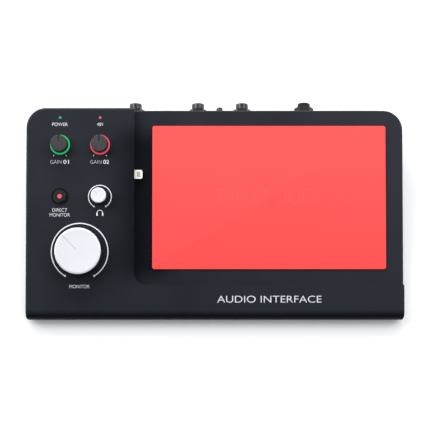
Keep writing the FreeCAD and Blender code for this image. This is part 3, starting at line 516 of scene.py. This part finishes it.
deck_text("power_label", "POWER", gain_1[0] - 0.1, gain_1[1] + 15.6, 11.8, 2.5, -0.012,
          "bold_print")
deck_text("phantom_label", "48V", gain_2[0], gain_2[1] + 15.6, 4.9, 2.4, -0.015, "bold_print")
deck_text("direct_label_top", "DIRECT", direct[0], direct[1] - 10.4, 11.2, 2.6, -0.016,
          "bold_print")
deck_text("direct_label_low", "MONITOR", direct[0], direct[1] - 14.1, 15.4, 2.6, -0.016,
          "bold_print")
deck_text("dial_label", "MONITOR", dial[0], dial[1] - 26.6, 15.4, 2.6, -0.012, "bold_print")
deck_text("band_label", "AUDIO INTERFACE", *BAND_MIDDLE, 79.4, 5.2, -0.008)


def level_ring(radius, width, dot):
    """A printed arc open at the bottom, with a dot at each end."""
    def build(bm):
        arc_band(bm, radius, width, -58, 238, 160)
        for angle in (-59, 239):
            turn = math.radians(angle)
            disc(bm, radius * math.cos(turn), radius * math.sin(turn), dot)
    return build


def phones_icon(bm):
    arc_band(bm, 2.15, 0.5, 0, 180, 32)
    for side in (-1, 1):
        brick(bm, (side * 2.15, -0.9), (1.15, 2.3), 0, PRINT_RISE)


for name, ring, centre in (("phones_ring", level_ring(8.73, 0.62, 0.6), phones),
                           ("dial_ring", level_ring(21.6, 0.78, 0.8), dial),
                           ("phones_icon", phones_icon, (phones[0], phones[1] - 12.5))):
    add_piece(name, mesh_from(name, ring, deck_frame_at(*centre)), "bold_print")

# ---- knobs --------------------------------------------------------------------

def deck_span(node):
    """A deck part's lowest and highest point above the deck, and its radius, in mm."""
    into = deck_matrix.inverted()
    spots = [into @ vertex.co for vertex in nodes[node].data.vertices]
    rise = [spot.z / MM for spot in spots]
    across = [spot.x / MM for spot in spots]
    return min(rise), max(rise), (max(across) - min(across)) / 2


def pointer_cut(radius_near, radius_far, width, low, high, angle):
    """Cutter for a pointer groove along a radius."""
    def build(bm):
        turn = math.radians(angle)
        middle = (radius_near + radius_far) / 2
        brick(bm, (middle * math.cos(turn), middle * math.sin(turn)),
              (radius_far - radius_near, width), low, high, turn)
    return build


def gain_knob(number):
    """Rubber knob: ribbed side, rounded rim, and a pointer groove at twelve o'clock."""
    node, where = f"gain_{number}_knob", deck_frame_at(*deck_place(f"gain_{number}_turn"))
    low, high, wide = deck_span(node)
    profile = [(0, low), (3.0, low), (wide - 0.3, low), (wide, low + 0.5), (wide - 0.1, low + 2),
               (wide - 0.2, high - 1.6)] + rounded(wide - 0.25, high, 0.8) + [(0, high - 0.15)]
    body = mesh_from(node, lambda bm: lathe(bm, profile, 144, 36, 0.16, (3, 4, 5)), where)
    groove = mesh_from("groove", pointer_cut(1.4, wide + 1, 0.85, high - 0.8, high + 1, 90), where)
    piece = add_piece(f"gain_{number}_rubber", smooth(cut_mesh(node, body, groove)), "rubber",
                      f"gain_{number}_control")
    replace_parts(piece, node)


def capped_knob(name, fillet, ribs, line):
    """Ribbed body under a spun cap whose rim is rounded and whose pointer is engraved."""
    where = deck_frame_at(*deck_place(f"{name}_turn"))
    low, high, wide = deck_span(f"{name}_knob")
    skirt = [(0, low), (wide - 1.4, low), (wide - 0.2, low), (wide, low + 0.4),
             (wide - 0.15, high - 0.4), (wide - 0.3, high), (0, high)]
    body = mesh_from(f"{name}_body", lambda bm: lathe(bm, skirt, ribs * 4, ribs, 0.2, (3, 4)),
                     where)
    piece = add_piece(f"{name}_body", smooth(body), "knob_side", f"{name}_control")
    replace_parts(piece, f"{name}_knob")
    low, high, wide = deck_span(f"{name}_cap")
    rim = rounded(wide, high, fillet, 8)
    face = high - 0.04
    plate = [(0, low), (wide - 0.1, low)] + rim + [(wide - fillet - 0.4, face), (0, face)]
    disc_mesh = mesh_from(f"{name}_plate", lambda bm: lathe(bm, plate, 160), where)
    near, far = 1.3, wide - fillet - 0.3
    groove = mesh_from("groove", pointer_cut(near, far, line, high - 0.25, high + 1, CAP_POINTER),
                      where)
    piece = add_piece(f"{name}_plate", smooth(cut_mesh(f"{name}_plate", disc_mesh, groove)),
                      "cap", f"{name}_control")
    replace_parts(piece, f"{name}_cap")
    floor_line = mesh_from(f"{name}_line", pointer_cut(near + 0.1, far - 0.1, line * 0.8,
                                                       high - 0.3, high - 0.12, CAP_POINTER),
                          where)
    add_piece(f"{name}_line", floor_line, "groove", f"{name}_control")


gain_knob(1)
gain_knob(2)
capped_knob("headphone", 0.9, 24, 0.3)
capped_knob("monitor", 1.35, 60, 0.42)

# ---- pad ------------------------------------------------------------------------

def make_pad():
    """Silicone pad with rounded rims; its words and two alignment marks are flat, in a darker red
    that paints the shade of low relief.
    """
    into = deck_matrix.inverted()
    spots = [into @ vertex.co / MM for vertex in nodes["tablet_pad"].data.vertices]
    left, right = min(s.x for s in spots), max(s.x for s in spots)
    front, back = min(s.y for s in spots), max(s.y for s in spots)
    low, high, _ = deck_span("tablet_pad")

    def body(bm):
        prism(bm, rounded_box(right - left, back - front, 1.3), low, high)
        rim = [edge for edge in bm.edges if all(v.co.z > high - 0.01 for v in edge.verts)]
        bmesh.ops.bevel(bm, geom=rim, offset=0.45, segments=4, profile=0.5, affect="EDGES")

    mesh = mesh_from("pad_body", body, deck_frame_at(left, front))
    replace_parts(add_piece("pad_body", smooth(mesh), "pad"), "tablet_pad")
    middle = (left + right) / 2
    # flat words in the darker red: painted relief shade
    words = text_mesh("pad_words", "TABLET DOCK", 82, 12.5, -0.012,
                      deck_frame_at(middle, front + 56, high))
    add_piece("pad_words", words, "pad_mark")

    def marks(bm):
        for up in (73.8, 54.9):
            brick(bm, (left + 14.5, front + up), (16.0, 0.5), 0, PRINT_RISE)
            for end in (6.5, 22.5):
                brick(bm, (left + end, front + up), (0.5, 2.6), 0, PRINT_RISE)
    add_piece("pad_marks", mesh_from("pad_marks", marks, deck_frame_at(0, 0, high)), "pad_mark")


make_pad()

# ---- dock plug -------------------------------------------------------------------

def make_plug_contacts():
    """Pale inlay on the white tab, with eight contacts across it."""
    low, high, _ = deck_span("dock_plug")
    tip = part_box("dock_plug")[1].x / MM
    _, up = deck_place("connector_slide")

    def inlay(bm):
        brick(bm, (tip - 2.9, up), (3.1, 4.4), high, high + 0.03)

    def contacts(bm):
        for row in range(8):
            brick(bm, (tip - 2.9, up + (row - 3.5) * 0.5), (2.3, 0.26), high, high + 0.06)
    add_piece("plug_inlay", mesh_from("plug_inlay", inlay, deck_frame_at(0, 0)), "inlay",
              "dock_connector")
    add_piece("plug_contacts", mesh_from("plug_contacts", contacts, deck_frame_at(0, 0)), "gold",
              "dock_connector")


make_plug_contacts()

# ---- rear sockets ------------------------------------------------------------------

panel_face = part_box("rear_panel")[1].y
axis_height = joints["phantom_press"]["pos_m"][2]


def on_panel(x, lift=0.0):
    """Frame on the rear panel's face: local X to the viewer's right, Z out."""
    return (Matrix.Translation((x, panel_face, axis_height))
            @ Matrix(((-1, 0, 0, 0), (0, 0, 1, 0), (0, 1, 0, 0), (0, 0, 0, 1)))
            @ Matrix.Translation((0, 0, lift * MM)))


def middle_x(node):
    low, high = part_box(node)
    return (low.x + high.x) / 2


def thread(bm, radius, depth, low, high, pitch, steps=28):
    """A helical ridge standing out of a cylinder by depth."""
    turns = (high - low) / pitch - 1
    rows = []
    for step in range(int(turns * steps) + 1):
        angle = 2 * math.pi * step / steps
        base = low + pitch * step / steps
        along = (math.cos(angle), math.sin(angle))
        rows.append([bm.verts.new((along[0] * r, along[1] * r, base + z)) for r, z in (
            (radius - 0.05, 0), (radius + depth, pitch * 0.45), (radius - 0.05, pitch * 0.9))])
    for a, b in zip(rows, rows[1:]):
        bm.faces.new((a[0], b[0], b[1], a[1]))
        bm.faces.new((a[1], b[1], b[2], a[2]))
        bm.faces.new((a[0], a[2], b[2], b[0]))
    bm.faces.new(rows[0])
    bm.faces.new(rows[-1][::-1])


def add_threads():
    nuts_out = (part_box("jack_nuts")[1].y - panel_face) / MM
    for node in ("instrument_jack", "left_output_jack", "right_output_jack", "headphone_jack"):
        out = (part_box(node)[1].y - panel_face) / MM
        start = nuts_out if node != "headphone_jack" else (
            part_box("headphone_jack_nut")[1].y - panel_face) / MM
        mesh = mesh_from(node + "_thread",
                         lambda bm: thread(bm, 4.9, 0.12, start - 0.3, out - 0.6, 0.8),
                         on_panel(middle_x(node)))
        look, slot = (("nickel", "dark_metal") if node != "headphone_jack"
                      else ("knob_side", "housing_black"))
        add_piece(node + "_thread", smooth(mesh), look)


def add_socket_contacts():
    """Rims, pin sleeves and contact blades of the round and flat sockets."""
    for number in (1, 2):
        x = middle_x(f"mic_socket_{number}")

        def trim(bm):
            lathe_ring(bm, 9.4, 9.9, -0.7, 0.45)
            lathe_ring(bm, 3.25, 3.9, -2.0, -0.45)
            for angle in (30, 150, 270):
                turn = math.radians(angle)
                lathe_ring(bm, 1.0, 1.25, -3.0, -0.55, 5.45 * math.cos(turn),
                           5.45 * math.sin(turn))
        add_piece(f"mic_trim_{number}", smooth(mesh_from("mic_trim", trim, on_panel(x, 0.3))),
                  "steel")

    def blades(bm):
        for slot in range(4):
            brick(bm, (-3.6 + 2.4 * slot, 0.25), (1.1, 0.12), -9.5, -1.6)
    add_piece("usb_contacts", mesh_from("usb_contacts", blades, on_panel(middle_x("usb_shell"))),
              "gold")


def panel_text(name, words, x, rise, height):
    curve_width = height * 0.72 * len(words)
    frame_here = on_panel(x) @ Matrix.Translation((0, rise * MM, 0))
    mesh = text_mesh(name, words, curve_width, height, 0.0, frame_here)
    add_piece(name, mesh, "print")


add_threads()
add_socket_contacts()
for name, words, node, rise in (
        ("label_instrument", "INST", "instrument_jack", 10.6),
        ("label_left", "L", "left_output_jack", 10.6),
        ("label_right", "R", "right_output_jack", 10.6),
        ("label_usb", "USB", "usb_shell", 6.2), ("label_phantom", "48V", "phantom_button", 6.2),
        ("label_power", "I/O", "power_switch", 8.2), ("label_dc", "DC", "dc_socket", 7.2)):
    panel_text(name, words, middle_x(node), rise, 1.9)
for number in (1, 2):
    panel_text(f"label_mic_{number}", f"{number}", middle_x(f"mic_socket_{number}") + 0.0155,
               -1.0, 2.4)

# ---- feet and screws -----------------------------------------------------------------

def make_feet():
    """Rubber feet with a rounded rim and concentric ridges on the sole."""
    for node in [name for name in nodes if name.startswith("foot_")]:
        low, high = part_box(node)
        middle, tall, wide = (low + high) / 2, (high.z - low.z) / MM, (high.x - low.x) / MM / 2
        sole = [(0, 0.4)]
        for ridge in range(4):
            start = 1.2 + ridge * 1.35
            sole += [(start, 0.4), (start + 0.2, 0), (start + 0.75, 0), (start + 0.95, 0.4)]
        profile = sole + [(wide - 0.7, 0.05), (wide - 0.25, 0.2), (wide, 0.6), (wide, tall),
                          (0, tall)]
        where = Matrix.Translation((middle.x, middle.y, low.z))
        mesh = mesh_from(node + "_rubber", lambda bm: lathe(bm, profile, 64), where)
        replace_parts(add_piece(node + "_rubber", smooth(mesh), "foot"), node)


def make_screw_crosses():
    """Dark crosses on the heads of the case screws, seen from below: painted shade standing for
    the cross recesses.
    """
    vertices = nodes["case_screws"].data.vertices
    floor = min(v.co.z for v in vertices)
    heads = [v.co for v in vertices if v.co.z < floor + 0.05 * MM]
    centres = []
    for spot in heads:
        near = [c for c in centres if (Vector(c[:2]) - spot.xy).length < 8 * MM]
        if near:
            near[0][2].append(spot.xy.copy())
        else:
            centres.append([spot.x, spot.y, [spot.xy.copy()]])

    def crosses(bm):
        for _, _, members in centres:
            middle = sum(members, Vector((0, 0))) / len(members) / MM
            for turn in (0.4, 0.4 + math.pi / 2):
                # flat dark crosses: painted recess shade, no recess is cut
                brick(bm, middle, (3.4, 0.75), -0.02, 0.3, turn)
    add_piece("screw_crosses", mesh_from("screw_crosses", crosses,
                                         Matrix.Translation((0, 0, floor))), "recess")


make_feet()
make_screw_crosses()

# ---- floor, lights and camera -----------------------------------------------

floor_mesh = bpy.data.meshes.new("floor")
floor_mesh.from_pydata([(-3, -3, 0), (3, -3, 0), (3, 3, 0), (-3, 3, 0)], [], [(0, 1, 2, 3)])
floor = bpy.data.objects.new("floor", floor_mesh)
bpy.context.scene.collection.objects.link(floor)
floor_mesh.materials.append(make_material("floor_paper", (0.93, 0.93, 0.93), 0.9, mottle=0.005,
                                          rough_mottle=0.02, emission=(0.9, 0.95, 1.0),
                                          glow=0.13))


def make_world(overhead, sides, front):
    """Soft surroundings: dim overhead, light all round, and dimmer low down in front."""
    world = bpy.data.worlds.new("studio")
    bpy.context.scene.world = world
    world.use_nodes = True
    tree = world.node_tree
    place = tree.nodes.new("ShaderNodeTexCoord")
    split = tree.nodes.new("ShaderNodeSeparateXYZ")
    tree.links.new(place.outputs["Generated"], split.inputs["Vector"])

    def ramp(source, start, stop, low, high):
        node = tree.nodes.new("ShaderNodeMapRange")
        node.interpolation_type = "SMOOTHSTEP"
        for label, number in (("From Min", start), ("From Max", stop), ("To Min", low),
                              ("To Max", high)):
            node.inputs[label].default_value = number
        tree.links.new(source, node.inputs["Value"])
        return node.outputs["Result"]

    upward = ramp(split.outputs["Z"], 0.45, 0.95, sides, overhead)
    frontal = ramp(split.outputs["Y"], -0.85, -0.25, front / sides, 1.0)
    product = tree.nodes.new("ShaderNodeMath")
    product.operation = "MULTIPLY"
    tree.links.new(upward, product.inputs[0])
    tree.links.new(frontal, product.inputs[1])
    tree.links.new(product.outputs["Value"],
                   tree.nodes["Background"].inputs["Strength"])
    tree.nodes["Background"].inputs["Color"].default_value = (0.96, 0.98, 1.0, 1)


make_world(0.17, 0.8, 0.22)


def area_light(name, place, target, size, power):
    data = bpy.data.lights.new(name, "AREA")
    data.shape = "RECTANGLE"
    data.size, data.size_y = size
    data.energy = power
    lamp = bpy.data.objects.new(name, data)
    lamp.location = place
    aim = Vector(target) - Vector(place)
    lamp.rotation_euler = aim.to_track_quat("-Z", "Y").to_euler()
    bpy.context.scene.collection.objects.link(lamp)


area_light("left_box", (-0.95, 0.35, 1.05), (0, 0, 0), (0.7, 1.0), 10.6)
area_light("right_box", (0.85, 0.25, 1.25), (0, 0, 0), (0.7, 1.0), 9.7)
area_light("back_box", (-0.1, 1.15, 1.1), (0, 0, 0), (1.2, 0.6), 17)

camera_data = bpy.data.cameras.new("camera")
camera = bpy.data.objects.new("camera", camera_data)
bpy.context.scene.collection.objects.link(camera)
bpy.context.scene.camera = camera
camera_data.sensor_width = 36.0
camera_data.lens = 109.95
camera.location = deck(0.0, 6.0, 1000.0)
aim = deck(0.0, 45.45) - camera.location
camera_data.shift_y = 0.1
camera.rotation_euler = aim.to_track_quat("-Z", "Y").to_euler()
bpy.context.scene.view_settings.view_transform = "Standard"
